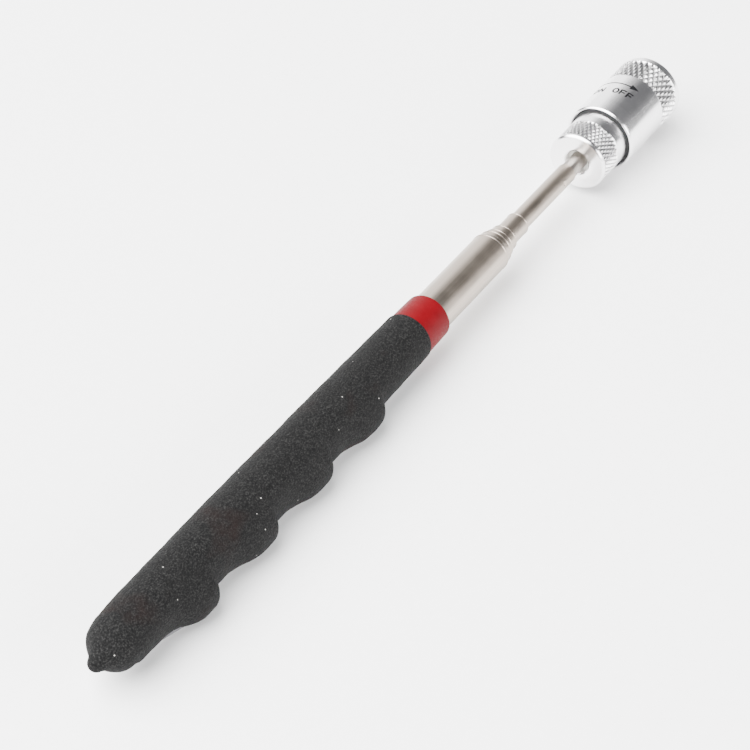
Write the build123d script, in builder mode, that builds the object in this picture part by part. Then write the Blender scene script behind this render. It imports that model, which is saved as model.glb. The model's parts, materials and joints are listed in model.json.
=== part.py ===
"""Telescopic magnetic pick-up tool with a twist-switched lamp in its magnet head.

The tool lies along +X on its magnet sleeve and finger ridges, the tail of the grip at -X and the
magnet face at +X.  The origin is on the ground below the middle of the tool.  Millimetres, +Z up.
"""

import os
from math import atan2, cos, degrees, hypot, radians, sin

from build123d import *

# ---------------------------------------------------------------- driving dimensions
TOOL_LENGTH = 224.1
TAIL_X = -TOOL_LENGTH / 2
FACE_X = TOOL_LENGTH / 2

# Magnet head
SLEEVE_R = 8.5
SLEEVE_LENGTH = 26.0
COLLAR_R = 7.15
COLLAR_X = 74.85
REAR_HOLE_R = 2.9
CELL_R = 3.95
CELL_LENGTH = 3.6
CELL_COUNT = 4
THREAD_R = 6.5

# Telescope, from the outer tube to the tip: outer radius, mouth and lower end at rest
TUBE_RADII = [4.665, 4.2, 3.725, 3.25, 2.79, 2.35]
TUBE_MOUTHS = [35.05, 36.95, 38.55, 41.0, 47.05, 70.1]
BUSH_ENDS = [None, -92.4, -88.4, -84.0, -75.9, -50.4]
TUBE_WALL = 0.3
LIP_LENGTH = 2.0
LIP_EDGE = 0.13
OUTER_SWAGE = 0.8
INNER_SWAGE = 0.4
RUNNING_FIT = 0.05
BUSH_FLANGE = 1.2
BUSH_SPIGOT = 2.0
BUSH_WALL = 0.6
CRIMP_SETBACK = 5.0
CRIMP_R = 0.7
TAIL_PLUG_X = -98.4
TAIL_PLUG_LENGTH = 4.0

# Grip: the dip coats over a moulded core
FOAM_THICKNESS = 0.45
VINYL_THICKNESS = 0.5
FOAM_EDGE_X = -0.15
VINYL_EDGE_X = 8.15
DOME_X = -103.55
DOME_LENGTH = 5.0
DOME_FLAT_R = 2.0
DRIP_ROOT_R = 2.6
DRIP_ROOT_DEPTH = 1.5
DRIP_TIP_R = 0.9
DRIP_TIP_ANGLE = 100
GRIP_STATIONS = [(DOME_X, 6.0), (-94.4, 6.3), (-82.4, 6.45), (-64.4, 6.45), (-37.4, 6.3), (-5.4, 5.93)]
GRIP_EDGE_R = 5.9

# Finger ridges: round swellings about a line beside the grip axis, gentle towards the tail
RIDGE_OFFSET = 5.0
RIDGE_ANGLE = 52.0
RIDGE_ROOT_R = 0.4
RIDGE_FALL = 4.4
RIDGE_ROUND = 1.6
RIDGES = [
    # rise begins, crest begins, crest ends, crest radius of the rib
    (-101.0, -87.5, -83.0, 4.5),
    (-78.6, -68.0, -62.0, 4.0),
    (-58.8, -49.5, -41.8, 3.9),
    (-39.0, -29.0, -22.5, 3.7),
]

AXIS_Z = SLEEVE_R
AXIS_POINT = (0, 0, AXIS_Z)
TOOL_AXIS = Axis(AXIS_POINT, (1, 0, 0))
PROFILE_PLANE = Plane(origin=AXIS_POINT, x_dir=(1, 0, 0), z_dir=(0, -1, 0))
RIDGE_POINT = (
    0,
    -RIDGE_OFFSET * cos(radians(RIDGE_ANGLE)),
    AXIS_Z - RIDGE_OFFSET * sin(radians(RIDGE_ANGLE)),
)
RIDGE_AXIS = Axis(RIDGE_POINT, (1, 0, 0))
RIDGE_PLANE = Plane(origin=RIDGE_POINT, x_dir=(1, 0, 0), z_dir=(0, -1, 0))


def across(x):
    """A plane square to the tool axis at x, facing the magnet."""
    return Plane(origin=(x, 0, AXIS_Z), x_dir=(0, 1, 0), z_dir=(1, 0, 0))


def save(piece, name):
    """Label one finished piece and write it to its own file."""
    piece.part.label = name
    export_step(piece.part, f"parts/{name}.step")


def turned(outline):
    """A piece turned about the tool axis from (x, radius) corners, given in order."""
    with BuildPart() as piece:
        with BuildSketch(PROFILE_PLANE):
            with BuildLine():
                Polyline(*outline, close=True)
            make_face()
        revolve(axis=TOOL_AXIS)
    return piece


def ring(start, end, inner, outer):
    """A plain ring or disc about the tool axis; inner is 0 for a disc."""
    return turned([(start, inner), (end, inner), (end, outer), (start, outer)])


# ---------------------------------------------------------------- grip
def grip_form(inset, front_x, front_r, with_drip):
    """The grip's outer form, set in by a coat's thickness, ending square at front_x."""
    stations = [(x, r - inset) for x, r in GRIP_STATIONS]
    shoulder_r = stations[0][1]
    dome_length = DOME_LENGTH - inset
    dome_tip = DOME_X - dome_length
    centre_back = (DOME_FLAT_R**2 + dome_length**2 - shoulder_r**2) / (2 * dome_length)
    centre_x = DOME_X - centre_back
    dome_r = hypot(centre_back, shoulder_r)
    start_angle = degrees(atan2(shoulder_r, centre_back))
    end_angle = degrees(atan2(DOME_FLAT_R, dome_tip - centre_x))
    with BuildPart() as form:
        with BuildSketch(PROFILE_PLANE):
            with BuildLine():
                dome = CenterArc((centre_x, 0), dome_r, start_angle, end_angle - start_angle)
                Polyline(
                    dome @ 1,
                    (dome_tip, 0),
                    (front_x, 0),
                    (front_x, front_r),
                    *reversed(stations[1:]),
                    dome @ 0,
                )
            make_face()
        revolve(axis=TOOL_AXIS)
        for rise_x, crest_start, crest_end, crest_r in RIDGES:
            start = (rise_x, RIDGE_ROOT_R)
            end = (crest_end + RIDGE_FALL, RIDGE_ROOT_R)
            crest = crest_r - inset
            with BuildSketch(RIDGE_PLANE):
                with BuildLine():
                    FilletPolyline(start, (crest_start, crest), (crest_end, crest), end, radius=RIDGE_ROUND)
                    Polyline(end, (end[0], 0), (rise_x, 0), start)
                make_face()
            revolve(axis=RIDGE_AXIS)
        if with_drip:
            root = (dome_tip + DRIP_ROOT_DEPTH, DRIP_ROOT_R)
            tip_turn = 180 - DRIP_TIP_ANGLE
            with BuildSketch(PROFILE_PLANE):
                with BuildLine():
                    tip = CenterArc((TAIL_X + DRIP_TIP_R, 0), DRIP_TIP_R, DRIP_TIP_ANGLE, tip_turn)
                    Polyline(tip @ 1, (root[0], 0), root, tip @ 0)
                make_face()
            revolve(axis=TOOL_AXIS)
    return form


def grip_pieces():
    """Moulded core, red vinyl undercoat and black foam coat."""
    coat_inset = FOAM_THICKNESS
    core_inset = FOAM_THICKNESS + VINYL_THICKNESS
    vinyl_front_r = 5.4
    foam_form = grip_form(0, FOAM_EDGE_X, GRIP_EDGE_R, True)
    vinyl_form = grip_form(coat_inset, VINYL_EDGE_X, vinyl_front_r, False)
    core_front_x = VINYL_EDGE_X - VINYL_THICKNESS
    core_front_r = vinyl_front_r - VINYL_THICKNESS
    core_form = grip_form(core_inset, core_front_x, core_front_r, False)
    bore_r = TUBE_RADII[0] + 0.02

    with BuildPart() as foam_coat:
        add(foam_form.part)
        add(vinyl_form.part, mode=Mode.SUBTRACT)
    save(foam_coat, "foam_coat")

    with BuildPart() as vinyl_undercoat:
        add(vinyl_form.part)
        add(core_form.part, mode=Mode.SUBTRACT)
        with BuildSketch(across(VINYL_EDGE_X)):
            Circle(bore_r)
        extrude(amount=-2 * VINYL_THICKNESS, mode=Mode.SUBTRACT)
    save(vinyl_undercoat, "vinyl_undercoat")

    with BuildPart() as grip_core:
        add(core_form.part)
        with BuildSketch(across(TAIL_PLUG_X)):
            Circle(bore_r)
        extrude(amount=TOOL_LENGTH, mode=Mode.SUBTRACT)
    save(grip_core, "grip_core")


# ---------------------------------------------------------------- telescope
def tube(index, start):
    """One drawn tube, its mouth swaged in to a lip that guides the next tube."""
    outer_r = TUBE_RADII[index]
    inner_r = outer_r - TUBE_WALL
    mouth_x = TUBE_MOUTHS[index]
    lip_r = TUBE_RADII[index + 1] + RUNNING_FIT
    lip_edge_r = lip_r + LIP_EDGE
    swage = OUTER_SWAGE if index == 0 else INNER_SWAGE
    with BuildPart() as piece:
        with BuildSketch(PROFILE_PLANE):
            with BuildLine():
                Line((start, inner_r), (start, outer_r))
                Line((start, outer_r), (mouth_x - swage, outer_r))
                TangentArc((mouth_x - swage, outer_r), (mouth_x, lip_edge_r), tangent=(1, 0))
                Polyline(
                    (mouth_x, lip_edge_r),
                    (mouth_x, lip_r),
                    (mouth_x - LIP_LENGTH, lip_r),
                    (mouth_x - LIP_LENGTH - TUBE_WALL, inner_r),
                    (start, inner_r),
                )
            make_face()
        revolve(axis=TOOL_AXIS)
    return piece


def guide_bush(index):
    """The friction bush at a tube's lower end: a flange that rubs the tube around it, and a spigot."""
    start = BUSH_ENDS[index]
    flange_r = TUBE_RADII[index - 1] - TUBE_WALL - RUNNING_FIT
    spigot_r = TUBE_RADII[index] - TUBE_WALL - 0.01
    bore_r = spigot_r - BUSH_WALL
    shoulder = start + BUSH_FLANGE
    end = shoulder + BUSH_SPIGOT
    return turned(
        [
            (start, bore_r),
            (start, flange_r),
            (shoulder, flange_r),
            (shoulder, spigot_r),
            (end, spigot_r),
            (end, bore_r),
        ]
    )


def tip_tube():
    """The last tube: an open thin rod with a rounded end and a crimp that holds the swivel stud."""
    tip_index = len(TUBE_RADII) - 1
    outer_r = TUBE_RADII[tip_index]
    start = BUSH_ENDS[tip_index] + BUSH_FLANGE
    end = TUBE_MOUTHS[tip_index]
    inner_r = outer_r - TUBE_WALL
    crimp_x = end - CRIMP_SETBACK
    with BuildPart() as piece:
        add(ring(start, end, inner_r, outer_r).part)
        fillet(piece.edges().filter_by(GeomType.CIRCLE).group_by(Axis.X)[-1][-1], TUBE_WALL * 0.5)
        with BuildSketch(Plane(origin=(crimp_x, 0, AXIS_Z), x_dir=(1, 0, 0), z_dir=(0, -1, 0))):
            Circle(CRIMP_R)
        extrude(amount=outer_r + 1.0, mode=Mode.SUBTRACT)
    return piece


def telescope_pieces():
    """The outer tube with its plug, and each sliding tube with its guide bush."""
    outer_inner_r = TUBE_RADII[0] - TUBE_WALL
    save(tube(0, TAIL_PLUG_X), "outer_tube")
    plug_r = outer_inner_r - 0.01
    save(ring(TAIL_PLUG_X, TAIL_PLUG_X + TAIL_PLUG_LENGTH, 0, plug_r), "tail_plug")
    for index in range(1, len(TUBE_RADII) - 1):
        save(tube(index, BUSH_ENDS[index] + BUSH_FLANGE), f"tube_{index + 1}")
    save(tip_tube(), "tip_tube")
    for index in range(1, len(TUBE_RADII)):
        save(guide_bush(index), f"guide_bush_{index + 1}")


# ---------------------------------------------------------------- head
REAR_WALL = 1.5
POCKET_R = 3.8
POCKET_X = COLLAR_X + REAR_WALL
CHAMBER_R = CELL_R + 0.35
SEAT_X = COLLAR_X + 3.8
SEAT_THICKNESS = 0.5
SPRING_X = SEAT_X + SEAT_THICKNESS
SPRING_HEIGHT = 2.6
CELLS_X = SPRING_X + SPRING_HEIGHT
CELLS_END_X = CELLS_X + CELL_COUNT * CELL_LENGTH
SPIGOT_END_X = CELLS_END_X + 0.5
SLEEVE_X = FACE_X - SLEEVE_LENGTH
GROOVE_X = SLEEVE_X + 0.6
GROOVE_WIDTH = 1.4
GROOVE_R = 6.4
SHOULDER_X = GROOVE_X + GROOVE_WIDTH + 1.0


def swivel_pieces():
    """The stud crimped into the tip tube, whose head turns in the housing's rear pocket."""
    stud_r = TUBE_RADII[-1] - TUBE_WALL - 0.02
    stud_grip = 9.0
    washer_x = POCKET_X + 0.05
    washer_end = washer_x + 0.5
    head_x = washer_end + 0.05
    head_end = head_x + 1.2
    head_r = POCKET_R - 0.25
    stud_start = TUBE_MOUTHS[-1] - stud_grip
    stud_outline = [
        (stud_start, 0),
        (stud_start, stud_r),
        (head_x, stud_r),
        (head_x, head_r),
        (head_end, head_r),
        (head_end, 0),
    ]
    save(turned(stud_outline), "swivel_stud")
    save(ring(washer_x, washer_end, stud_r + 0.05, POCKET_R - 0.1), "swivel_washer")


def battery_housing():
    """The knurled collar, the O-ring groove and the threaded battery barrel, in one turned piece."""
    hole_bevel = 0.4
    edge = 0.45
    with BuildPart() as piece:
        with BuildSketch(PROFILE_PLANE):
            with BuildLine():
                Polyline(
                    (COLLAR_X, REAR_HOLE_R + hole_bevel),
                    (COLLAR_X, COLLAR_R - edge),
                    (COLLAR_X + edge, COLLAR_R),
                    (GROOVE_X, COLLAR_R),
                    (GROOVE_X, GROOVE_R),
                    (GROOVE_X + GROOVE_WIDTH, GROOVE_R),
                    (GROOVE_X + GROOVE_WIDTH, COLLAR_R),
                    (SHOULDER_X, COLLAR_R),
                    (SHOULDER_X, THREAD_R),
                    (SPIGOT_END_X, THREAD_R),
                    (SPIGOT_END_X, CHAMBER_R),
                    (SEAT_X, CHAMBER_R),
                    (SEAT_X, POCKET_R),
                    (POCKET_X, POCKET_R),
                    (POCKET_X, REAR_HOLE_R),
                    (COLLAR_X + hole_bevel, REAR_HOLE_R),
                    close=True,
                )
            make_face()
        revolve(axis=TOOL_AXIS)
    return piece


def contact_spring():
    """The leaf spring behind the cells: a round foot and one tongue bent forward."""
    sheet = 0.3
    tongue_width = 2.4
    rise_start = -2.4
    rise_end = 1.6
    tip = 2.6
    top = SPRING_X + SPRING_HEIGHT
    with BuildPart() as piece:
        with BuildSketch(across(SPRING_X)):
            Circle(CELL_R - 0.15)
        extrude(amount=sheet)
        with BuildSketch(Plane(origin=(0, 0, AXIS_Z), x_dir=(1, 0, 0), z_dir=(0, -1, 0))):
            with BuildLine():
                Polyline(
                    (SPRING_X, rise_start),
                    (SPRING_X + sheet, rise_start - 1.0),
                    (top, rise_end),
                    (top, tip),
                    (top - sheet, tip),
                    (top - sheet, rise_end),
                    close=True,
                )
            make_face()
        extrude(amount=tongue_width / 2, both=True)
    return piece


def battery_pieces():
    """Housing, spring seat, spring, insulating sleeve, button cells and O-ring."""
    save(battery_housing(), "battery_housing")
    save(ring(SEAT_X, SEAT_X + SEAT_THICKNESS, 0, CHAMBER_R - 0.01), "spring_seat")
    save(contact_spring(), "contact_spring")
    save(ring(CELLS_X, CELLS_END_X, CELL_R + 0.05, CHAMBER_R - 0.03), "cell_sleeve")
    rim = 0.35
    cap_r = 2.9
    for number in range(CELL_COUNT):
        start = CELLS_X + number * CELL_LENGTH
        end = start + CELL_LENGTH
        cell_outline = [
            (start, 0),
            (start, cap_r),
            (start + rim, cap_r),
            (start + rim, CELL_R),
            (end, CELL_R),
            (end, 0),
        ]
        save(turned(cell_outline), f"button_cell_{number + 1}")
    cord_r = 0.55
    with BuildPart() as o_ring:
        with BuildSketch(PROFILE_PLANE):
            with Locations((GROOVE_X + GROOVE_WIDTH / 2, GROOVE_R + cord_r + 0.01)):
                Circle(cord_r)
        revolve(axis=TOOL_AXIS)
    save(o_ring, "o_ring")


BOARD_X = SPIGOT_END_X + 0.4
BOARD_THICKNESS = 0.8
HOLDER_END_X = FACE_X - 8.1
YOKE_X = HOLDER_END_X + 0.3
YOKE_R = 7.1
YOKE_WALL = 0.7
YOKE_FLOOR = 1.0
LAMP_R = 2.5
LAMP_BORE_R = 3.1
LAMP_RECESS = 0.8


def lamp_pieces():
    """The lamp carrier that the sleeve pushes back on to the cells: contact, board, holder and lamp."""
    contact_gap = 0.3
    contact_r = 1.5
    board_r = 5.9
    holder_r = 6.0
    flange_r = 2.9
    flange_x = HOLDER_END_X - 1.0
    lead_r = 0.25
    lead_pitch = 2.54
    board_end = BOARD_X + BOARD_THICKNESS
    contact_x = CELLS_END_X + contact_gap
    save(ring(contact_x, BOARD_X, 0, contact_r), "lamp_contact")
    save(ring(BOARD_X, board_end, 0, board_r), "lamp_board")

    with BuildPart() as lamp_holder:
        add(ring(board_end, HOLDER_END_X, 0, holder_r).part)
        with BuildSketch(across(HOLDER_END_X)):
            Circle(flange_r + 0.05)
        extrude(amount=flange_x - HOLDER_END_X, mode=Mode.SUBTRACT)
        with BuildSketch(across(board_end)):
            with GridLocations(lead_pitch, 0, 2, 1):
                Circle(lead_r + 0.05)
        extrude(amount=flange_x - board_end, mode=Mode.SUBTRACT)
    save(lamp_holder, "lamp_holder")

    dome_tip = FACE_X - LAMP_RECESS
    with BuildPart() as lamp:
        with BuildSketch(PROFILE_PLANE):
            with BuildLine():
                Polyline(
                    (dome_tip, 0),
                    (flange_x, 0),
                    (flange_x, flange_r),
                    (HOLDER_END_X, flange_r),
                    (HOLDER_END_X, LAMP_R),
                    (dome_tip - LAMP_R, LAMP_R),
                )
                CenterArc((dome_tip - LAMP_R, 0), LAMP_R, 0, 90)
            make_face()
        revolve(axis=TOOL_AXIS)
        with BuildSketch(across(flange_x)):
            with GridLocations(lead_pitch, 0, 2, 1):
                Circle(lead_r)
        extrude(amount=board_end - flange_x)
    save(lamp, "lamp")


def sleeve_pieces():
    """The knurled sleeve that screws on the housing, with the ring magnet and its steel yoke."""
    bore_r = THREAD_R + RUNNING_FIT
    mouth_r = COLLAR_R + 0.45
    rear_bevel = 0.4
    front_bevel = 1.1
    face_set_back = 0.2
    front_x = FACE_X - face_set_back
    with BuildPart() as sleeve:
        add(
            turned(
                [
                    (SLEEVE_X, mouth_r + rear_bevel / 2),
                    (SLEEVE_X, SLEEVE_R - rear_bevel),
                    (SLEEVE_X + rear_bevel, SLEEVE_R),
                    (front_x, SLEEVE_R),
                    (front_x, YOKE_R + 0.02),
                    (YOKE_X, YOKE_R + 0.02),
                    (YOKE_X, bore_r),
                    (SHOULDER_X + 0.4, bore_r),
                    (SHOULDER_X + 0.4, mouth_r),
                    (SLEEVE_X + rear_bevel / 2, mouth_r),
                ]
            ).part
        )
        front_edges = sleeve.edges().filter_by(GeomType.CIRCLE).group_by(Axis.X)[-1]
        fillet(front_edges.sort_by(SortBy.RADIUS)[-1], front_bevel)
    save(sleeve, "sleeve")

    floor_end = YOKE_X + YOKE_FLOOR
    cup_r = YOKE_R - YOKE_WALL
    yoke_outline = [
        (YOKE_X, LAMP_BORE_R),
        (YOKE_X, YOKE_R),
        (FACE_X, YOKE_R),
        (FACE_X, cup_r),
        (floor_end, cup_r),
        (floor_end, LAMP_BORE_R),
    ]
    save(turned(yoke_outline), "magnet_yoke")
    save(ring(floor_end, FACE_X, LAMP_BORE_R, cup_r - 0.02), "ring_magnet")


os.makedirs("parts", exist_ok=True)
grip_pieces()
telescope_pieces()
swivel_pieces()
battery_pieces()
lamp_pieces()
sleeve_pieces()
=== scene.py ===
"""Looks of the telescopic magnetic pick-up tool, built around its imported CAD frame.

The tool lies along +X. Sizes below are in millimetres and are scaled by MM where Blender needs
metres. Angles round the tool are measured from straight up towards -Y, the side the grip's finger
ridges are on.
"""

import json
import math

import bpy
import numpy as np
from mathutils import Matrix, Vector


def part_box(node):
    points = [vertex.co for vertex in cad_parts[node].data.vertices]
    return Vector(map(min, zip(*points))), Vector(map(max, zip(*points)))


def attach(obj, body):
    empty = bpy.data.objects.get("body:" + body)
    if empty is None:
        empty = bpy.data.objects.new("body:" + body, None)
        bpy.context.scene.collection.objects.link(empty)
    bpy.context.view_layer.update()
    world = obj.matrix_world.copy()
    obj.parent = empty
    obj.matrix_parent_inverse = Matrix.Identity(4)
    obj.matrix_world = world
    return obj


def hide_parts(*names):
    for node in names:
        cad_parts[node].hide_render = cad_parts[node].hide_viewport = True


MM = 0.001

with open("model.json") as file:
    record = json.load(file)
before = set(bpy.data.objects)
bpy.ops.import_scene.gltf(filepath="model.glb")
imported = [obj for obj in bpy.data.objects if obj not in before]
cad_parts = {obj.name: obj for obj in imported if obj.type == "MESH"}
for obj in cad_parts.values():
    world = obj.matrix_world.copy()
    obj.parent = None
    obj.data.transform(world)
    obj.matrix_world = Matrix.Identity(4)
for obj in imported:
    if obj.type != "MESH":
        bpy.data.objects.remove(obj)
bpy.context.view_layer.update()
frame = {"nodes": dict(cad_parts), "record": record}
nodes = frame["nodes"]


# ---------------------------------------------------------------- places, from the frame
def span(node):
    """A node's first and last x, in mm."""
    low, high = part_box(node)
    return low.x / MM, high.x / MM


def radius(node):
    """Half of a turned node's width, in mm."""
    low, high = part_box(node)
    return (high.y - low.y) / 2 / MM


sleeve_low, sleeve_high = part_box("sleeve")
AXIS_Z = (sleeve_low.z + sleeve_high.z) / 2 / MM
TAIL_X = span("foam_coat")[0]
FOAM_END_X = span("foam_coat")[1]
VINYL_END_X = span("vinyl_undercoat")[1]
COLLAR_X, BARREL_END_X = span("battery_housing")
SLEEVE_X, SLEEVE_END_X = span("sleeve")
FACE_X = span("ring_magnet")[1]

# ---------------------------------------------------------------- driving sizes, in mm
# Grip: the tail and body as (distance from the tail, radius), and the finger ridges.
# SPINE is the same for the rib that joins the ridges.
DOME_LENGTH = 8.5
DOME_X = TAIL_X + DOME_LENGTH
GRIP_STATIONS = [
    (DOME_LENGTH, 5.7),
    (17.6, 5.9),
    (29.6, 6.1),
    (47.6, 6.2),
    (74.6, 6.12),
    (96.0, 6.0),
    (106.6, 5.9),
    (111.9, 5.82),
]
TAIL_OUTLINE = [
    (0.0, 0.0),
    (0.2, 0.9),
    (0.8, 1.5),
    (1.7, 1.95),
    (2.6, 2.6),
    (3.8, 3.95),
    (5.5, 5.15),
    (DOME_LENGTH, 5.72),
]
TAIL_LEAN = 0.4
FOAM_THICKNESS = 0.45
RIDGE_OFFSET = 3.6
RIDGE_ANGLE = math.radians(135.0)
SPINE = [
    (DOME_LENGTH, 1.3),
    (14.0, 1.8),
    (30.0, 2.5),
    (75.0, 2.4),
    (90.0, 2.2),
    (97.0, 0.6),
    (112.0, 0.0),
]
RIDGE_BLEND = 2.6
RIDGES = [
    # from the tail: rise begins, crest begins, crest ends, fall ends; crest radius of the rib
    (17.2, 25.6, 28.8, 31.4, 5.84),
    (36.0, 45.2, 49.7, 51.8, 5.44),
    (56.4, 65.2, 69.6, 71.8, 5.25),
    (76.4, 84.8, 89.6, 92.2, 5.07),
]

# Tube walls
TUBE_WALL = 0.3
TIP_WALL = 0.28

# Knurls: diamonds round the part, length of one diamond along it, depth
COLLAR_KNURL = dict(start=COLLAR_X + 0.7, end=COLLAR_X + 7.2, count=42, pitch=2.0, depth=0.3)
SLEEVE_KNURL = dict(start=SLEEVE_END_X - 9.8, end=SLEEVE_END_X - 2.3, count=36, pitch=2.7, depth=0.42)

# Print on the sleeve
PRINT_X = SLEEVE_X + 8.8
ARROW_X = SLEEVE_X + 12.1


# ---------------------------------------------------------------- mesh helpers
def around(x, r, angle):
    """The point at distance r from the tool axis, at an angle from straight up towards -Y."""
    return (x * MM, -r * np.sin(angle) * MM, (AXIS_Z + r * np.cos(angle)) * MM)


def make_object(name, vertices, faces, material, body, smooth_angle=35.0):
    """A mesh piece with smooth shading that breaks at sharp edges, riding on its body."""
    mesh = bpy.data.meshes.new(name)
    mesh.from_pydata(vertices, [], faces)
    mesh.validate()
    mesh.shade_smooth()
    mesh.set_sharp_from_angle(angle=math.radians(smooth_angle))
    mesh.materials.append(material)
    piece = bpy.data.objects.new(name, mesh)
    bpy.context.scene.collection.objects.link(piece)
    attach(piece, body)
    return piece


def loft(rings, closed, start_point=None):
    """Vertices and faces of a skin through rings of equal count; closed joins last ring to first.

    start_point, if given, closes the first ring to one point. Otherwise open ends stay open.
    """
    count = len(rings[0])
    vertices = np.concatenate(rings).tolist()
    faces = []
    pairs = len(rings) if closed else len(rings) - 1
    for i in range(pairs):
        a = i * count
        b = ((i + 1) % len(rings)) * count
        for j in range(count):
            k = (j + 1) % count
            faces.append((a + j, a + k, b + k, b + j))
    if start_point is not None:
        pole = len(vertices)
        vertices.append(tuple(start_point))
        faces += [(pole, (j + 1) % count, j) for j in range(count)]
    return vertices, faces


def ring_of(x, r, segments):
    """One ring of points; r may be a number or one value per segment."""
    angle = np.linspace(0, 2 * math.pi, segments, endpoint=False)
    r = np.broadcast_to(r, angle.shape)
    px = np.full(segments, x * MM)
    return np.stack([px, -r * np.sin(angle) * MM, (AXIS_Z + r * np.cos(angle)) * MM], axis=1)


def turned(name, profile, material, body, segments=160, surface=None):
    """A ring-like turned piece from a closed (x, radius) profile, given once round.

    surface(x, r, angles) may return the radii of an outer point, for knurls and dents.
    """
    angles = np.linspace(0, 2 * math.pi, segments, endpoint=False)
    rings = []
    for x, r in profile:
        radii = surface(x, r, angles) if surface else r
        rings.append(ring_of(x, radii, segments))
    vertices, faces = loft(rings, closed=True)
    return make_object(name, vertices, faces, material, body)


def arc(cx, cr, r, start, end, steps=6):
    """Points of an arc in the (x, radius) plane, angles in degrees from +x towards +radius."""
    return [
        (cx + r * math.cos(a), cr + r * math.sin(a))
        for a in np.radians(np.linspace(start, end, steps + 1))
    ]


def run(x_start, x_end, r, steps):
    """Evenly spaced points at one radius."""
    return [(x, r) for x in np.linspace(x_start, x_end, steps + 1)]


def catmull(points, steps):
    """A smooth curve through points, by Catmull-Rom spans."""
    p = np.array([points[0], *points, points[-1]], float)
    out = []
    for i in range(1, len(p) - 2):
        for t in np.linspace(0, 1, steps, endpoint=False):
            a, b, c, d = p[i - 1], p[i], p[i + 1], p[i + 2]
            out.append(
                0.5
                * (2 * b + (c - a) * t + (2 * a - 5 * b + 4 * c - d) * t * t + (3 * b - a - 3 * c + d) * t**3)
            )
    out.append(p[-2])
    return np.array(out)


def smoothstep(t):
    t = np.clip(t, 0, 1)
    return t * t * (3 - 2 * t)


# ---------------------------------------------------------------- node helpers
class Shader:
    """A short way to write a procedural material."""

    def __init__(self, name):
        self.material = bpy.data.materials.new(name)
        self.material.use_nodes = True
        self.tree = self.material.node_tree
        self.shader = self.tree.nodes["Principled BSDF"]
        self.coordinates = self.add("ShaderNodeTexCoord").outputs["Object"]

    def add(self, kind, **values):
        node = self.tree.nodes.new(kind)
        for key, value in values.items():
            setattr(node, key, value)
        return node

    def link(self, output, target):
        self.tree.links.new(output, target)

    def set(self, **values):
        for key, value in values.items():
            self.shader.inputs[key.replace("_", " ")].default_value = value
        return self

    def mapped(self, scale):
        """Object coordinates stretched by a scale for each axis."""
        node = self.add("ShaderNodeMapping")
        node.inputs["Scale"].default_value = scale
        self.link(self.coordinates, node.inputs["Vector"])
        return node.outputs["Vector"]

    def noise(self, scale, detail=4.0, roughness=0.6, vector=None):
        node = self.add("ShaderNodeTexNoise")
        node.inputs["Scale"].default_value = scale
        node.inputs["Detail"].default_value = detail
        node.inputs["Roughness"].default_value = roughness
        self.link(vector or self.coordinates, node.inputs["Vector"])
        return node.outputs["Fac"]

    def voronoi(self, scale, output="Distance", vector=None):
        node = self.add("ShaderNodeTexVoronoi")
        node.inputs["Scale"].default_value = scale
        self.link(vector or self.coordinates, node.inputs["Vector"])
        return node.outputs[output]

    def remap(self, value, low, high, out_low, out_high):
        node = self.add("ShaderNodeMapRange")
        node.inputs["From Min"].default_value = low
        node.inputs["From Max"].default_value = high
        node.inputs["To Min"].default_value = out_low
        node.inputs["To Max"].default_value = out_high
        self.link(value, node.inputs["Value"])
        return node.outputs["Result"]

    def math(self, operation, a, b):
        node = self.add("ShaderNodeMath", operation=operation)
        for socket, value in zip(node.inputs, (a, b)):
            if isinstance(value, (int, float)):
                socket.default_value = value
            else:
                self.link(value, socket)
        return node.outputs[0]

    def ramp(self, value, stops):
        """A colour ramp from (position, rgb) stops."""
        node = self.add("ShaderNodeValToRGB")
        elements = node.color_ramp.elements
        while len(elements) < len(stops):
            elements.new(0.5)
        for element, (position, colour) in zip(elements, stops):
            element.position = position
            element.color = (*colour, 1)
        self.link(value, node.inputs["Fac"])
        return node.outputs["Color"]

    def mix(self, factor, a, b):
        """Mix two colours, each an output or an rgb."""
        node = self.add("ShaderNodeMix", data_type="RGBA")
        self.link(factor, node.inputs["Factor"])
        for socket, value in ((node.inputs[6], a), (node.inputs[7], b)):
            if isinstance(value, tuple):
                socket.default_value = (*value, 1)
            else:
                self.link(value, socket)
        return node.outputs[2]

    def bump(self, height, distance_mm, strength=1.0, after=None):
        node = self.add("ShaderNodeBump")
        node.inputs["Strength"].default_value = strength
        node.inputs["Distance"].default_value = distance_mm * MM
        self.link(height, node.inputs["Height"])
        if after is not None:
            self.link(after, node.inputs["Normal"])
        return node.outputs["Normal"]

    def out(self, colour=None, roughness=None, normal=None):
        if colour is not None:
            self.link(colour, self.shader.inputs["Base Color"])
        if roughness is not None:
            self.link(roughness, self.shader.inputs["Roughness"])
        if normal is not None:
            self.link(normal, self.shader.inputs["Normal"])
        return self.material


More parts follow.
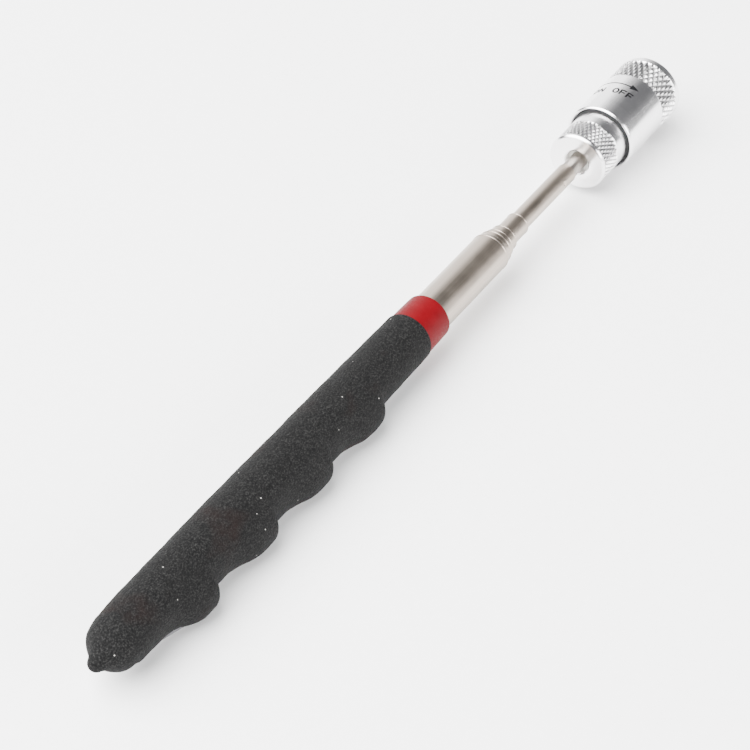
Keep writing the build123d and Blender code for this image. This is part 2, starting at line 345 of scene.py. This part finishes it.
# ---------------------------------------------------------------- materials
def foam_material():
    """Charcoal foamed dip coat: fine grain, pale specks, and the red undercoat showing faintly."""
    s = Shader("black_foam")
    grain = s.noise(3100, 2, 0.6)
    pores = s.voronoi(2100)
    mottle = s.noise(330, 4, 0.6)
    tone = [(0.36, (0.0008, 0.0008, 0.0009)), (0.5, (0.005, 0.005, 0.005)), (0.66, (0.02, 0.0197, 0.0192))]
    base = s.ramp(grain, tone)
    pore = s.remap(pores, 0.12, 0.45, 0.0, 1.0)
    pitted = s.mix(pore, (0.0007, 0.0007, 0.0008), base)
    shaded = s.mix(s.remap(mottle, 0.35, 0.7, 0.0, 0.35), pitted, (0.003, 0.003, 0.003))
    warm = s.mix(stain_mask(s, mottle), shaded, (0.0095, 0.0042, 0.0034))
    specks = s.math("MULTIPLY", speck_mask(s, 950, 0.1, 0.88), 0.9)
    colour = s.mix(specks, warm, (0.4, 0.39, 0.37))
    rough = s.remap(grain, 0.3, 0.8, 0.75, 0.95)
    height = s.math("ADD", s.math("MULTIPLY", grain, 0.6), s.math("MULTIPLY", pores, 0.6))
    fine = s.bump(height, 0.2, 1.0)
    normal = s.bump(mottle, 0.2, 0.4, after=fine)
    s.set(Specular_IOR_Level=0.1)
    return s.out(colour, rough, normal)


def stain_mask(s, mottle):
    """Where the red undercoat shows faintly through the coat."""
    broad = s.noise(75, 2, 0.5)
    return s.math("MULTIPLY", s.remap(broad, 0.6, 0.72, 0.0, 0.6), s.remap(mottle, 0.35, 0.65, 0.2, 1.0))


def speck_mask(s, scale, size, rarity):
    """Small round specks in a few of a voronoi pattern's cells."""
    small = s.remap(s.voronoi(scale, "Distance"), size, size * 1.6, 1.0, 0.0)
    rare = s.remap(s.voronoi(scale, "Color"), rarity, rarity + 0.02, 0.0, 1.0)
    return s.math("MULTIPLY", small, rare)


def vinyl_material():
    """Red vinyl dip coat with slight depth variation and fine dust."""
    s = Shader("red_vinyl")
    broad = s.noise(160, 3)
    dust = s.noise(2600, 2)
    colour = s.ramp(broad, [(0.3, (0.075, 0.0006, 0.0024)), (0.7, (0.1, 0.001, 0.0036))])
    dusty = s.mix(s.remap(dust, 0.66, 0.8, 0.0, 0.3), colour, (0.2, 0.03, 0.03))
    rough = s.remap(dust, 0.3, 0.7, 0.42, 0.6)
    normal = s.bump(s.noise(420, 3), 0.12, 0.35)
    s.set(Specular_IOR_Level=0.07)
    return s.out(dusty, rough, normal)


def metal(name, colour, roughness, streak_scale, streak_depth=0.02, tint=0.06, turned_marks=0.0):
    """A worked metal whose fine marks run along or round the part, by the streak scale."""
    s = Shader(name)
    marks = s.noise(1.0, 3, 0.7, s.mapped(streak_scale))
    cloud = s.noise(140, 3)
    dark = tuple(c * (1 - tint) for c in colour)
    light = tuple(min(1.0, c * (1 + tint)) for c in colour)
    tone = s.ramp(marks, [(0.3, dark), (0.7, light)])
    low, high = roughness
    scratched = s.remap(marks, 0.3, 0.7, 0.0, (high - low) * 0.6)
    worn = s.math("ADD", scratched, s.remap(cloud, 0.3, 0.7, low, high))
    normal = s.bump(marks, streak_depth, 0.35)
    s.set(Metallic=1.0)
    if turned_marks:
        s.set(Anisotropic=turned_marks, Anisotropic_Rotation=0.25)
        tangent = s.add("ShaderNodeTangent", direction_type="RADIAL", axis="X")
        s.link(tangent.outputs[0], s.shader.inputs["Tangent"])
    return s.out(tone, worn, normal)


def plastic(name, colour, roughness, grain=900, depth=0.03):
    """A moulded or laminated piece with a faint grain."""
    s = Shader(name)
    texture = s.noise(grain, 3)
    dark = tuple(c * 0.85 for c in colour)
    tone = s.ramp(texture, [(0.3, dark), (0.7, colour)])
    rough = s.remap(texture, 0.3, 0.7, roughness - 0.06, roughness + 0.08)
    return s.out(tone, rough, s.bump(texture, depth, 0.4))


def print_material():
    """Black pad print, slightly worn."""
    s = Shader("black_print")
    wear = s.noise(1500, 3)
    colour = s.ramp(wear, [(0.3, (0.001, 0.001, 0.0013)), (0.8, (0.004, 0.004, 0.005))])
    s.set(Specular_IOR_Level=0.15)
    return s.out(colour, s.remap(wear, 0.3, 0.7, 0.45, 0.65))


def lens_material():
    """Clear cast epoxy of the lamp."""
    s = Shader("lamp_clear")
    swirl = s.noise(500, 2)
    s.set(Transmission_Weight=1.0, IOR=1.5)
    rough = s.remap(swirl, 0.3, 0.7, 0.01, 0.05)
    return s.out(s.ramp(swirl, [(0.0, (0.92, 0.95, 1.0)), (1.0, (0.98, 0.99, 1.0))]), rough)


def knurled_metal(name, surface_r, depth):
    """The head's aluminium in a knurled band, with painted shade: the colour darkens to grey low in the
    grooves.
    """
    s = Shader(name)
    marks = s.noise(1.0, 3, 0.7, s.mapped((900, 900, 900)))
    split = s.add("ShaderNodeSeparateXYZ")
    s.link(s.coordinates, split.inputs[0])
    across = s.math("POWER", split.outputs["Y"], 2.0)
    above = s.math("SUBTRACT", split.outputs["Z"], AXIS_Z * MM)
    r = s.math("SQRT", s.math("ADD", across, s.math("MULTIPLY", above, above)), 0.0)
    # painted shade: this mask is 1 deep in the knurl grooves and 0 near the tops; it darkens the colour to
    # grey there and also raises the roughness
    low = s.remap(r, (surface_r - depth) * MM, (surface_r - 0.4 * depth) * MM, 1.0, 0.0)
    tone = s.ramp(marks, [(0.3, (0.82, 0.81, 0.81)), (0.7, (0.9, 0.89, 0.89))])
    # painted shade: grey mixed into the colour low in the grooves
    groove_shade = s.mix(low, tone, (0.24, 0.235, 0.24))
    rough = s.math("ADD", s.remap(marks, 0.3, 0.7, 0.14, 0.24), s.math("MULTIPLY", low, 0.2))
    s.set(Metallic=1.0)
    return s.out(groove_shade, rough, s.bump(marks, 0.01, 0.35))


ALONG = (12, 2600, 2600)
ROUND = (14000, 40, 40)
FOAM = foam_material()
VINYL = vinyl_material()
TUBE_STEEL = metal("tube_steel", (0.35, 0.3, 0.255), (0.27, 0.36), ALONG)
STUD_STEEL = metal("stud_steel", (0.29, 0.265, 0.24), (0.25, 0.38), ROUND)
ALUMINIUM = metal("head_aluminium", (0.84, 0.83, 0.835), (0.16, 0.23), ROUND, turned_marks=0.5)
NICKEL = metal("nickel", (0.72, 0.7, 0.67), (0.08, 0.2), (700, 700, 700), 0.01)
YOKE_STEEL = metal("yoke_steel", (0.62, 0.61, 0.6), (0.18, 0.3), ROUND)
SPRING_STEEL = metal("spring_steel", (0.68, 0.68, 0.66), (0.2, 0.35), ALONG)
CELL_STEEL = metal("cell_steel", (0.75, 0.75, 0.74), (0.15, 0.3), ROUND)
BRASS = metal("bush_brass", (0.76, 0.57, 0.25), (0.25, 0.4), ROUND)
CONTACT_BRASS = metal("contact_brass", (0.8, 0.62, 0.3), (0.2, 0.35), (900, 900, 900))
RUBBER = plastic("black_rubber", (0.003, 0.003, 0.0033), 0.75)
CORE_PLASTIC = plastic("core_plastic", (0.06, 0.06, 0.065), 0.5)
NYLON = plastic("nylon", (0.82, 0.81, 0.76), 0.45)
BOARD = plastic("board_laminate", (0.05, 0.2, 0.08), 0.4)
PAPER = plastic("insulating_paper", (0.72, 0.69, 0.6), 0.85, 500)
PRINT = print_material()
LENS = lens_material()
PHOSPHOR = plastic("phosphor", (0.86, 0.74, 0.18), 0.6)

SLOT_MATERIALS = {
    "black_foam": FOAM,
    "red_vinyl": VINYL,
    "core_plastic": CORE_PLASTIC,
    "tube_steel": TUBE_STEEL,
    "bush_brass": BRASS,
    "stud_steel": STUD_STEEL,
    "nylon": NYLON,
    "head_aluminium": ALUMINIUM,
    "spring_steel": SPRING_STEEL,
    "insulating_paper": PAPER,
    "cell_steel": CELL_STEEL,
    "black_rubber": RUBBER,
    "contact_brass": CONTACT_BRASS,
    "board_laminate": BOARD,
    "lamp_clear": LENS,
    "yoke_steel": YOKE_STEEL,
    "magnet_nickel": NICKEL,
}


def paint_cad_nodes():
    """Give every CAD node the material of its slot."""
    for part in frame["record"]["subparts"]:
        node = nodes[part["node"]]
        node.data.materials.clear()
        node.data.materials.append(SLOT_MATERIALS[part["material_slot"]])


# ---------------------------------------------------------------- camera and light
VIEW_AZIMUTH = math.radians(302.2)
VIEW_ELEVATION = math.radians(40.5)
VIEW_ROLL = math.radians(-0.2)
VIEW_DISTANCE = 502.0
VIEW_AIM = Vector((-14.35, -0.44, AXIS_Z - 0.28))
LENS_MM = 115.2


def add_camera():
    """The view from the tail, above the finger side."""
    back = Vector(
        (
            math.sin(VIEW_AZIMUTH) * math.cos(VIEW_ELEVATION),
            -math.cos(VIEW_AZIMUTH) * math.cos(VIEW_ELEVATION),
            math.sin(VIEW_ELEVATION),
        )
    )
    data = bpy.data.cameras.new("camera")
    data.lens = LENS_MM
    data.sensor_width = 36.0
    data.clip_start = 0.01
    camera = bpy.data.objects.new("camera", data)
    turn = back.to_track_quat("Z", "Y").to_matrix().to_4x4()
    place = Matrix.Translation((VIEW_AIM + back * VIEW_DISTANCE) * MM)
    camera.matrix_world = place @ turn @ Matrix.Rotation(VIEW_ROLL, 4, "Z")
    bpy.context.scene.collection.objects.link(camera)
    bpy.context.scene.camera = camera


def add_area_light(name, place, aim, size, watts):
    data = bpy.data.lights.new(name, "AREA")
    data.shape = "RECTANGLE"
    data.size, data.size_y = size
    data.energy = watts
    light = bpy.data.objects.new(name, data)
    light.location = place
    light.rotation_euler = (Vector(place) - Vector(aim)).to_track_quat("Z", "Y").to_euler()
    bpy.context.scene.collection.objects.link(light)


def add_light():
    """A high key on the far side, a low fill beside the ridges, and a tall soft box ahead.

    The soft box fades out towards the ridges in four narrow panels. The room is a dim grey.
    """
    world = bpy.data.worlds.new("room")
    world.use_nodes = True
    world.node_tree.nodes["Background"].inputs["Color"].default_value = (0.95, 0.96, 1.0, 1)
    world.node_tree.nodes["Background"].inputs["Strength"].default_value = 0.2
    bpy.context.scene.world = world
    add_area_light("key", (-0.6, 0.6, 1.3), (0.0, 0, 0), (2.2, 2.0), 240.0)
    add_area_light("side_fill", (-0.1, -1.5, 0.55), (0.0, 0, 0.1), (2.4, 0.8), 70.0)
    box_x, box_z, box_height = 0.75, 0.45, 0.9
    box_y, box_width = 0.8, 0.8
    panel_width = 0.1
    add_area_light("front_box", (box_x, box_y, box_z), (0.0, box_y, box_z), (box_width, box_height), 9.0)
    for y, watts in ((0.35, 0.55), (0.25, 0.26), (0.15, 0.14), (0.05, 0.05)):
        place = (box_x, y, box_z)
        add_area_light("front_box_edge", place, (0.0, y, box_z), (panel_width, box_height), watts)


def add_floor():
    """Plain pale floor."""
    s = Shader("floor")
    speckle = s.noise(400, 3)
    colour = s.ramp(speckle, [(0.3, (0.92, 0.92, 0.92)), (0.7, (0.94, 0.94, 0.94))])
    material = s.set(Roughness=0.85, Specular_IOR_Level=0.1).out(colour)
    half = 3.0
    mesh = bpy.data.meshes.new("floor")
    corners = [(-half, -half, 0), (half, -half, 0), (half, half, 0), (-half, half, 0)]
    mesh.from_pydata(corners, [], [(0, 1, 2, 3)])
    mesh.materials.append(material)
    floor = bpy.data.objects.new("floor", mesh)
    bpy.context.scene.collection.objects.link(floor)


# ---------------------------------------------------------------- grip
def grip_base_radius(x):
    """Radius of the round grip body at x, without the ridges."""
    distance, body_r = np.array(GRIP_STATIONS).T
    fine = np.linspace(distance[0], distance[-1], 400)
    smooth = np.polyval(np.polyfit(distance, body_r, 4), fine)
    return np.interp(x - TAIL_X, fine, smooth)


def rib_radius(x):
    """Radius of the finger rib at x: gentle rise, domed crest, steep fall towards the head."""
    d = x - TAIL_X
    spine_r = np.interp(d, *np.array(SPINE).T)
    r = spine_r
    for rise, crest_start, crest_end, fall, crest_r in RIDGES:
        if rise <= d <= fall:
            swell = crest_r - spine_r
            middle = (crest_start + crest_end) / 2
            climb = np.clip((d - rise) / (crest_start - rise), 0, 1)
            up = 0.45 * climb + 0.55 * smoothstep(climb)
            down = 1 - ((max(d, crest_end) - crest_end) / (fall - crest_end)) ** 2
            sag = 0.012 * (np.clip(d, crest_start, crest_end) - middle) ** 2
            r = spine_r + swell * up * math.sqrt(max(down, 0.0)) - sag * up
    return max(r, spine_r)


def grip_ring_radii(x, base_r, angles):
    """Radii round one section: the body circle and the rib circle in a smooth union."""
    rib_r = rib_radius(x)
    low = np.full(angles.shape, base_r - 0.01)
    high = np.full(angles.shape, base_r + 8.0)
    for _ in range(32):
        r = (low + high) / 2
        to_body = r - base_r
        across = np.sqrt(r**2 + RIDGE_OFFSET**2 - 2 * r * RIDGE_OFFSET * np.cos(angles - RIDGE_ANGLE))
        to_rib = across - rib_r
        h = np.clip(0.5 + 0.5 * (to_rib - to_body) / RIDGE_BLEND, 0, 1)
        inside = to_rib * (1 - h) + to_body * h - RIDGE_BLEND * h * (1 - h) < 0
        low = np.where(inside, r, low)
        high = np.where(inside, high, r)
    return (low + high) / 2


def tail_lean(distance):
    """How far the tail's sections lean towards the ridges, in mm."""
    return TAIL_LEAN * (1 - smoothstep(distance / 14.0))


def hand_dipped(x, angles):
    """Small unevenness of a dipped coat, in mm."""
    a = np.sin(0.41 * x + 2.0 * angles + 0.7) * np.sin(0.23 * x - angles)
    b = np.sin(0.93 * x - 3.0 * angles + 1.9) * np.sin(0.61 * x + 2.0 * angles + 0.4)
    c = np.sin(2.1 * x + 5.0 * angles) * np.sin(1.7 * x - 4.0 * angles + 2.2)
    return 0.05 * a + 0.03 * b + 0.015 * c


def foam_ring(distance, radii, segments):
    """One section of the foam coat, leaning towards the ridges near the tail."""
    ring = ring_of(TAIL_X + distance, radii, segments)
    lean = tail_lean(distance) * MM
    return ring + np.array([0.0, -lean * math.sin(RIDGE_ANGLE), lean * math.cos(RIDGE_ANGLE)])


def add_foam_coat():
    """The black coat: a closed shell with a drip at the tail and a rolled front edge."""
    segments = 200
    angles = np.linspace(0, 2 * math.pi, segments, endpoint=False)
    edge_roll = 0.45
    outer = []
    for distance, r in catmull(TAIL_OUTLINE, 7)[1:]:
        wobble = hand_dipped(distance, angles) * smoothstep(r / 6.0)
        outer.append(foam_ring(distance, r + wobble, segments))
    body_x = np.arange(DOME_X + 0.3, FOAM_END_X - edge_roll, 0.3)
    for x in body_x:
        radii = grip_ring_radii(x, grip_base_radius(x), angles)
        outer.append(foam_ring(x - TAIL_X, radii + hand_dipped(x - TAIL_X, angles), segments))
    front_r = grip_base_radius(FOAM_END_X)
    for turn in np.radians([15, 40, 65, 90]):
        x = FOAM_END_X - edge_roll + edge_roll * math.sin(turn)
        outer.append(ring_of(x, front_r - edge_roll * (1 - math.cos(turn)), segments))
    inner = []
    for x in body_x[::-6]:
        radii = grip_ring_radii(x, grip_base_radius(x), angles) - FOAM_THICKNESS
        inner.append(foam_ring(x - TAIL_X, radii, segments))
    inner_dome = 4.5
    inner_r = 6.0 - FOAM_THICKNESS
    for turn in np.radians([20, 40, 60, 80]):
        distance = DOME_LENGTH - inner_dome * math.sin(turn)
        inner.append(foam_ring(distance, inner_r * math.cos(turn), segments))
    tip = foam_ring(0.0, 0.0, 1)[0]
    vertices, faces = loft(outer + inner, closed=False, start_point=tip)
    last = (len(outer) + len(inner) - 1) * segments
    faces.append(tuple(last + j for j in range(segments)))
    piece = make_object("foam_coat_skin", vertices, faces, FOAM, "handle", 60.0)
    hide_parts("foam_coat")


def add_vinyl():
    """The red undercoat: its band shows in front of the foam."""
    start = TAIL_X + 9.0
    hidden_r = 5.5
    band_r = 5.55
    front_r = 5.4
    bore_r = radius("outer_tube") + 0.02
    round_r = 0.5
    band_start = FOAM_END_X - 0.5
    band_end = VINYL_END_X - round_r - 0.05
    profile = [(start, bore_r), *run(start, FOAM_END_X - 1.0, hidden_r, 11)]
    for t in np.linspace(0, 1, 9):
        profile.append((band_start + (band_end - band_start) * t, band_r - (band_r - front_r) * t * t))
    profile += arc(VINYL_END_X - round_r, front_r - round_r, round_r, 90, 10, 6)
    profile += [(VINYL_END_X - 0.02, bore_r)]

    def dipped(x, r, angles):
        return r + hand_dipped(x + 30.0, angles) * 0.5 if r > bore_r + 0.2 else r

    piece = turned("vinyl_band", profile, VINYL, "handle", 160, dipped)
    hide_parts("vinyl_undercoat")


# ---------------------------------------------------------------- telescope
def add_tube(node, body, next_node, swage):
    """A drawn tube with its mouth rolled in round the next tube."""
    start, end = span(node)
    outer_r = radius(node)
    inner_r = outer_r - TUBE_WALL
    lip_r = radius(next_node) + 0.06
    drop = outer_r - lip_r - 0.12
    bead = 0.07
    rolled = [(end - swage - 0.12, outer_r), (end - swage - 0.06, outer_r + 0.6 * bead)]
    rolled += [
        (end - swage + swage * math.sin(a), outer_r + bead - (drop + bead) * (1 - math.cos(a)))
        for a in np.radians(np.linspace(0, 82, 8))
    ]
    profile = [(start, inner_r), (start, outer_r), *run(start + 0.5, end - swage - 0.2, outer_r, 12), *rolled]
    profile += [(end, lip_r + 0.05), (end - 0.05, lip_r), (end - 2.0, lip_r), (end - 2.3, inner_r)]
    piece = turned(node + "_drawn", profile, TUBE_STEEL, body)
    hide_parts(node)


CRIMP_ANGLE = math.radians(74.0)
CRIMP_R = 0.75
CRIMP_DEPTH = 0.28


def add_tip_tube():
    """The thin end tube, its front rim rounded, punched twice on to the swivel stud."""
    start, end = span("tip_tube")
    outer_r = radius("tip_tube")
    inner_r = outer_r - TIP_WALL
    rim = 0.22
    crimp_x = end - 5.0

    def crimped(x, r, angles):
        if r < outer_r - 0.15:
            return r
        radii = np.full(angles.shape, r)
        for side in (CRIMP_ANGLE, CRIMP_ANGLE + math.pi):
            turn = np.abs((angles - side + math.pi) % (2 * math.pi) - math.pi)
            away = np.hypot(x - crimp_x, turn * outer_r)
            dent = np.exp(-((away / (0.55 * CRIMP_R)) ** 2))
            lip = np.exp(-(((away - CRIMP_R) / 0.22) ** 2))
            radii = radii - CRIMP_DEPTH * dent + 0.05 * lip
        return radii

    profile = [(start, inner_r), (start, outer_r), *run(start + 1.0, crimp_x - 1.5, outer_r, 20)]
    profile += run(crimp_x - 1.4, crimp_x + 1.4, outer_r, 36)
    profile += run(crimp_x + 1.6, end - rim - 0.3, outer_r, 6)
    profile += arc(end - rim, outer_r - rim, rim, 90, 0, 6)
    profile += [(end - 0.05, inner_r), (end - 6.0, inner_r)]
    piece = turned("tip_tube_drawn", profile, TUBE_STEEL, "tip", 128, crimped)
    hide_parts("tip_tube")


def add_telescope():
    add_tube("outer_tube", "handle", "tube_2", 0.95)
    sections = ["tube_2", "tube_3", "tube_4", "tube_5", "tip_tube"]
    for number, (node, inner) in enumerate(zip(sections, sections[1:]), start=2):
        add_tube(node, f"section_{number}", inner, 0.4)
    add_tip_tube()


# ---------------------------------------------------------------- head
def knurled(knurl, surface_r):
    """A surface function that cuts diamond grooves into a band."""
    fade_length = 0.6
    flat_top = 0.85

    def cut(x, r, angles):
        inside = knurl["start"] <= x <= knurl["end"] and abs(r - surface_r) < 0.02
        if not inside:
            return r
        turn = angles * knurl["count"] / (2 * math.pi)
        step = (x - knurl["start"]) / knurl["pitch"]
        ridge = np.minimum(
            1 - 2 * np.abs((turn + step) % 1.0 - 0.5),
            1 - 2 * np.abs((turn - step) % 1.0 - 0.5),
        )
        fade = min(1.0, (x - knurl["start"]) / fade_length, (knurl["end"] - x) / fade_length)
        height = np.clip(ridge / flat_top, 0, 1)
        return r - knurl["depth"] * (1 - height) * max(fade, 0.0)

    return cut


def dress_knurl(piece, knurl, surface_r):
    """Give the faces of the knurled band their own material."""
    piece.data.materials.append(knurled_metal(piece.name + "_knurl", surface_r, knurl["depth"]))
    for face in piece.data.polygons:
        x = face.center.x / MM
        r = math.hypot(face.center.y / MM, face.center.z / MM - AXIS_Z)
        if knurl["start"] <= x <= knurl["end"] and r > surface_r - knurl["depth"] - 0.05:
            face.material_index = 1


def add_housing():
    """The knurled collar with its flat rear face and the barrel inside the sleeve."""
    collar_r = radius("battery_housing")
    edge = 0.42
    hole_r = 2.9
    rear = COLLAR_X
    barrel_r = 6.48
    groove_x = SLEEVE_X + 0.1
    groove_end = groove_x + 1.4
    groove_r = 6.4
    pocket_r = 3.8
    pocket_x = rear + 1.5
    bore_r = 4.3
    bore_x = rear + 3.8
    profile = [(pocket_x, pocket_r), (pocket_x, hole_r), (rear + 0.4, hole_r), (rear + 0.05, hole_r + 0.35)]
    profile += [(rear, hole_r + 0.45), (rear, 4.5), (rear, 5.6), (rear, collar_r - edge - 0.06)]
    profile += [(rear + 0.06, collar_r - edge + 0.02), (rear + edge - 0.04, collar_r - 0.03)]
    profile += [(rear + edge + 0.04, collar_r)]
    profile += run(COLLAR_KNURL["start"], COLLAR_KNURL["end"], collar_r, 84)
    profile += [(COLLAR_KNURL["end"] + 0.1, collar_r), (groove_x - 1.0, collar_r)]
    profile += [(groove_x - 0.05, collar_r), (groove_x, collar_r - 0.05)]
    profile += [(groove_x, groove_r), (groove_end, groove_r)]
    profile += [(groove_end, collar_r - 0.02), (groove_end + 1.0, collar_r - 0.02)]
    profile += [(groove_end + 1.0, barrel_r), (BARREL_END_X, barrel_r), (BARREL_END_X, bore_r)]
    profile += [(bore_x, bore_r), (bore_x, pocket_r)]
    diamonds = knurled(COLLAR_KNURL, collar_r)
    segments = COLLAR_KNURL["count"] * 12
    piece = turned("battery_housing_turned", profile, ALUMINIUM, "head", segments, diamonds)
    dress_knurl(piece, COLLAR_KNURL, collar_r)
    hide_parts("battery_housing")


def add_o_ring():
    """The rubber ring that closes the gap between collar and sleeve."""
    cord_r = 0.64
    seat_r = 6.42
    middle = SLEEVE_X + 0.8
    profile = arc(middle, seat_r + cord_r, cord_r, 0, 360, 20)[:-1]
    piece = turned("o_ring_cord", profile, RUBBER, "head")
    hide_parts("o_ring")


def add_sleeve():
    """The twist sleeve: rear rim, plain part, diamond knurl, polished front round."""
    outer_r = radius("sleeve")
    mouth_r = 7.84
    rear = SLEEVE_X
    front = SLEEVE_END_X
    nose = 1.15
    step_x = rear + 3.4
    seat_x = span("magnet_yoke")[0]
    bore_r = 6.56
    recess_r = 7.12
    profile = [(step_x, bore_r), (step_x, mouth_r), (rear + 0.25, mouth_r), (rear + 0.02, mouth_r + 0.2)]
    profile += [(rear, mouth_r + 0.25), (rear, outer_r - 0.3), (rear + 0.08, outer_r - 0.2)]
    profile += [(rear + 0.22, outer_r - 0.05), (rear + 0.35, outer_r)]
    profile += run(rear + 1.0, SLEEVE_KNURL["start"] - 0.1, outer_r, 12)
    profile += run(SLEEVE_KNURL["start"], SLEEVE_KNURL["end"], outer_r, 90)
    profile += [(SLEEVE_KNURL["end"] + 0.1, outer_r), (front - nose - 0.3, outer_r)]
    profile += arc(front - nose, outer_r - nose, nose, 90, 4, 10)
    profile += [(front, recess_r + 0.08), (front, recess_r), (seat_x, recess_r), (seat_x, bore_r)]
    diamonds = knurled(SLEEVE_KNURL, outer_r)
    segments = SLEEVE_KNURL["count"] * 14
    piece = turned("sleeve_turned", profile, ALUMINIUM, "twist_sleeve", segments, diamonds)
    dress_knurl(piece, SLEEVE_KNURL, outer_r)
    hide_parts("sleeve")


def add_magnet():
    """Ring magnet and its steel cup, with small ground bevels."""
    start, front = span("magnet_yoke")
    bevel = 0.15
    hole_r = 3.1
    cup_r = 7.1
    cup_bore_r = 6.4
    magnet_r = 6.36
    floor_x = start + 1.0
    cup = [(start, hole_r), (start, cup_r), (front - bevel, cup_r), (front, cup_r - bevel)]
    cup += [(front, cup_bore_r + bevel / 2), (front - bevel / 2, cup_bore_r)]
    cup += [(floor_x, cup_bore_r), (floor_x, hole_r)]
    yoke = turned("magnet_yoke_turned", cup, YOKE_STEEL, "twist_sleeve")
    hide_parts("magnet_yoke")
    start, front = span("ring_magnet")
    block = [(start, hole_r), (start, magnet_r)]
    block += arc(front - bevel, magnet_r - bevel, bevel, 90, 0, 4)
    block += arc(front - bevel, hole_r + bevel, bevel, 360, 270, 4)
    magnet = turned("ring_magnet_plated", block, NICKEL, "twist_sleeve")
    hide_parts("ring_magnet")


def add_lamp():
    """The clear lamp, with its lead frame, cup and phosphor inside."""
    start, tip = span("lamp")
    flange_x = start + 4.8
    flange_end_x = flange_x + 1.0
    flange_r = 2.9
    r = 2.5
    dome_x = tip - r
    segments = 96
    outline = [(flange_x, 0.01), (flange_x, flange_r), (flange_end_x, flange_r), (flange_end_x, r)]
    outline += run(flange_x + 1.2, dome_x - 0.2, r, 6) + arc(dome_x, 0, r, 90, 4, 16)
    rings = [ring_of(x, radial, segments) for x, radial in outline]
    vertices, faces = loft(rings, closed=False)
    faces.append(tuple(range(segments)))
    vertices.append((tip * MM, 0, AXIS_Z * MM))
    last = (len(rings) - 1) * segments
    faces += [(len(vertices) - 1, last + j, last + (j + 1) % segments) for j in range(segments)]
    lens = make_object("lamp_lens", vertices, faces, LENS, "lamp_carrier")
    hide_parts("lamp")
    cup_x = dome_x - 0.6
    cup = [(cup_x - 1.0, 0.35), (cup_x - 0.9, 0.9), (cup_x, 0.95), (cup_x, 0.82), (cup_x - 0.5, 0.4)]
    reflector = turned("lamp_reflector", cup, NICKEL, "lamp_carrier", 48)
    dot = [(cup_x - 0.9, 0.02), (cup_x - 0.45, 0.02), (cup_x - 0.3, 0.3)]
    dot += [(cup_x - 0.5, 0.55), (cup_x - 0.8, 0.5)]
    chip = turned("lamp_phosphor", dot, PHOSPHOR, "lamp_carrier", 48)
    lead_side = 1.27
    half = 0.25
    section = [(half, half), (half, -half), (-half, -half), (-half, half)]
    leads = (("lamp_anvil", lead_side, cup_x - 0.7), ("lamp_post", -lead_side, cup_x - 0.2))
    for name, side, top in leads:
        neck = 0.4 * side
        stations = [(start, side), (flange_x + 2.2, side), (flange_x + 3.0, neck), (top, neck)]
        rings = [
            np.array([(x * MM, (y + a) * MM, (AXIS_Z + b) * MM) for a, b in section]) for x, y in stations
        ]
        vertices, faces = loft(rings, closed=False)
        faces += [(0, 1, 2, 3), tuple(len(vertices) - 4 + j for j in range(4))]
        lead = make_object(name, vertices, faces, SPRING_STEEL, "lamp_carrier")


LETTERS = {
    # strokes of each letter on a grid one unit wide and one unit high
    "O": [[(0.5 + 0.5 * math.sin(t), 0.5 - 0.5 * math.cos(t)) for t in np.linspace(0, 2 * math.pi, 25)]],
    "N": [[(0, 0), (0, 1)], [(0, 1), (1, 0)], [(1, 0), (1, 1)]],
    "F": [[(0, 0), (0, 1)], [(0, 1), (1, 1)], [(0, 0.52), (0.85, 0.52)]],
}


def stroke(points, width, step=0.12):
    """A flat ribbon along a path, in short pieces so that it can be bent round the sleeve."""
    vertices, faces = [], []
    for start, end in zip(points, points[1:]):
        a, b = np.array(start, float), np.array(end, float)
        along = b - a
        length = np.hypot(*along)
        side = np.array([-along[1], along[0]]) / length * width / 2
        reach = along / length * width * 0.2
        stations = np.linspace(0, 1, max(2, int(length / step) + 2))
        first = len(vertices)
        for t in stations:
            middle = a - reach + (along + 2 * reach) * t
            vertices += [tuple(middle - side), tuple(middle + side)]
        for i in range(len(stations) - 1):
            k = first + 2 * i
            faces.append((k, k + 2, k + 3, k + 1))
    return vertices, faces


def add_print():
    """Generic ON / OFF lettering and a turn arrow, printed round the sleeve."""
    print_r = radius("sleeve") + 0.012
    letter_height = 1.85
    letter_width = 1.2
    letter_gap = 0.62
    line_width = 0.44

    def wrap(name, ribbons, x_base, angle):
        vertices, faces = [], []
        for flat, ribbon_faces in ribbons:
            first = len(vertices)
            vertices += [around(x_base + v, print_r, angle + u / print_r) for u, v in flat]
            faces += [tuple(first + k for k in face) for face in ribbon_faces]
        piece = make_object(name, vertices, faces, PRINT, "twist_sleeve")

    for word, angle in (("ON", math.radians(-37.0)), ("OFF", math.radians(7.0))):
        ribbons = []
        word_width = len(word) * (letter_width + letter_gap) - letter_gap
        for place, letter in enumerate(word):
            left = place * (letter_width + letter_gap) - word_width / 2
            for path in LETTERS[letter]:
                points = [(left + u * letter_width, v * letter_height) for u, v in path]
                ribbons.append(stroke(points, line_width))
        wrap("print_" + word.lower(), ribbons, PRINT_X - letter_height / 2, angle)

    tip_angle = math.radians(25.0)
    tail_angle = math.radians(-62.0)
    shaft_width = 0.4
    head_length = 2.2
    head_half = 0.95
    length = (tip_angle - tail_angle) * print_r
    shaft = stroke([(-length, 0), (-head_length, 0)], shaft_width)
    head_steps = np.linspace(0, 0.995, 8)
    flat = [(-head_length * (1 - t), side * head_half * (1 - t)) for t in head_steps for side in (-1, 1)]
    head_faces = [(2 * i, 2 * i + 2, 2 * i + 3, 2 * i + 1) for i in range(len(head_steps) - 1)]
    wrap("print_arrow", [shaft, (flat, head_faces)], ARROW_X, tip_angle)


# ---------------------------------------------------------------- build
add_camera()
add_light()
add_floor()
paint_cad_nodes()
add_foam_coat()
add_vinyl()
add_telescope()
add_housing()
add_o_ring()
add_sleeve()
add_magnet()
add_lamp()
add_print()
